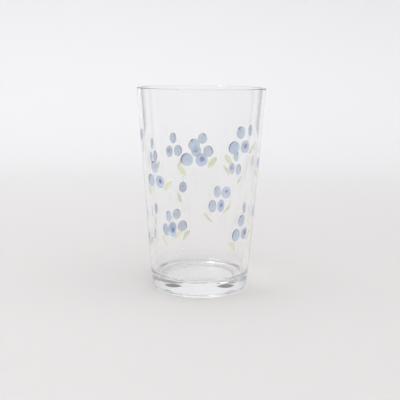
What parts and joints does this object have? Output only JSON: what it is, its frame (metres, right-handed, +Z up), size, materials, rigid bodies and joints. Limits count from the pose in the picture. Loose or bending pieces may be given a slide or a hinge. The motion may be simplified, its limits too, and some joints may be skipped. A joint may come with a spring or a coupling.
{
  "type": "pint glass",
  "caption": "Tapered clear pint tumbler with a rounded rim, a thick solid base and a fired enamel print of berry sprigs.",
  "frame": {"origin": "centre of the foot ring, on the surface the tumbler stands on", "axes": "+Z up along the tumbler's axis; -Y towards the side that the main view shows"},
  "size_m": [0.086, 0.086, 0.136],
  "materials": {
    "clear_glass": "clear, fire-polished",
    "blue_enamel": "satin fired enamel",
    "violet_enamel": "satin fired enamel",
    "dark_blue_enamel": "satin fired enamel",
    "green_enamel": "satin fired enamel"
  },
  "bodies": {
    "root": {"bud_01_berry": "violet_enamel", "bud_01_stem_and_leaf": "green_enamel", "bud_02_berry": "violet_enamel", "bud_02_stem_and_leaf": "green_enamel", "bud_03_berry": "violet_enamel", "bud_04_berry": "violet_enamel", "bud_04_stem_and_leaf": "green_enamel", "bud_05_berry": "violet_enamel", "bud_06_berry": "violet_enamel", "bud_06_stem_and_leaf": "green_enamel", "bud_07_berry": "violet_enamel", "bud_07_stem_and_leaf": "green_enamel", "bud_08_berry": "violet_enamel", "glass_tumbler": "clear_glass", "sprig_01_berries": "blue_enamel", "sprig_01_leaves": "green_enamel", "sprig_01_marks": "dark_blue_enamel", "sprig_02_berries": "blue_enamel", "sprig_02_leaves": "green_enamel", "sprig_02_marks": "dark_blue_enamel", "sprig_03_berries": "blue_enamel", "sprig_03_leaves": "green_enamel", "sprig_03_marks": "dark_blue_enamel", "sprig_04_berries": "blue_enamel", "sprig_04_leaves": "green_enamel", "sprig_04_marks": "dark_blue_enamel", "sprig_05_berries": "blue_enamel", "sprig_05_leaves": "green_enamel", "sprig_05_marks": "dark_blue_enamel", "sprig_06_berries": "blue_enamel", "sprig_06_leaves": "green_enamel", "sprig_06_marks": "dark_blue_enamel", "sprig_07_berries": "blue_enamel", "sprig_07_leaves": "green_enamel", "sprig_07_marks": "dark_blue_enamel", "sprig_08_berries": "blue_enamel", "sprig_08_leaves": "green_enamel", "sprig_08_marks": "dark_blue_enamel", "sprig_09_berries": "blue_enamel", "sprig_09_leaves": "green_enamel", "sprig_09_marks": "dark_blue_enamel", "sprig_10_berries": "blue_enamel", "sprig_10_leaves": "green_enamel", "sprig_10_marks": "dark_blue_enamel", "sprig_11_berries": "blue_enamel", "sprig_11_leaves": "green_enamel", "sprig_11_marks": "dark_blue_enamel", "sprig_12_berries": "blue_enamel", "sprig_12_leaves": "green_enamel", "sprig_12_marks": "dark_blue_enamel", "sprig_13_berries": "blue_enamel", "sprig_13_leaves": "green_enamel", "sprig_13_marks": "dark_blue_enamel"}
  },
  "joints": []
}
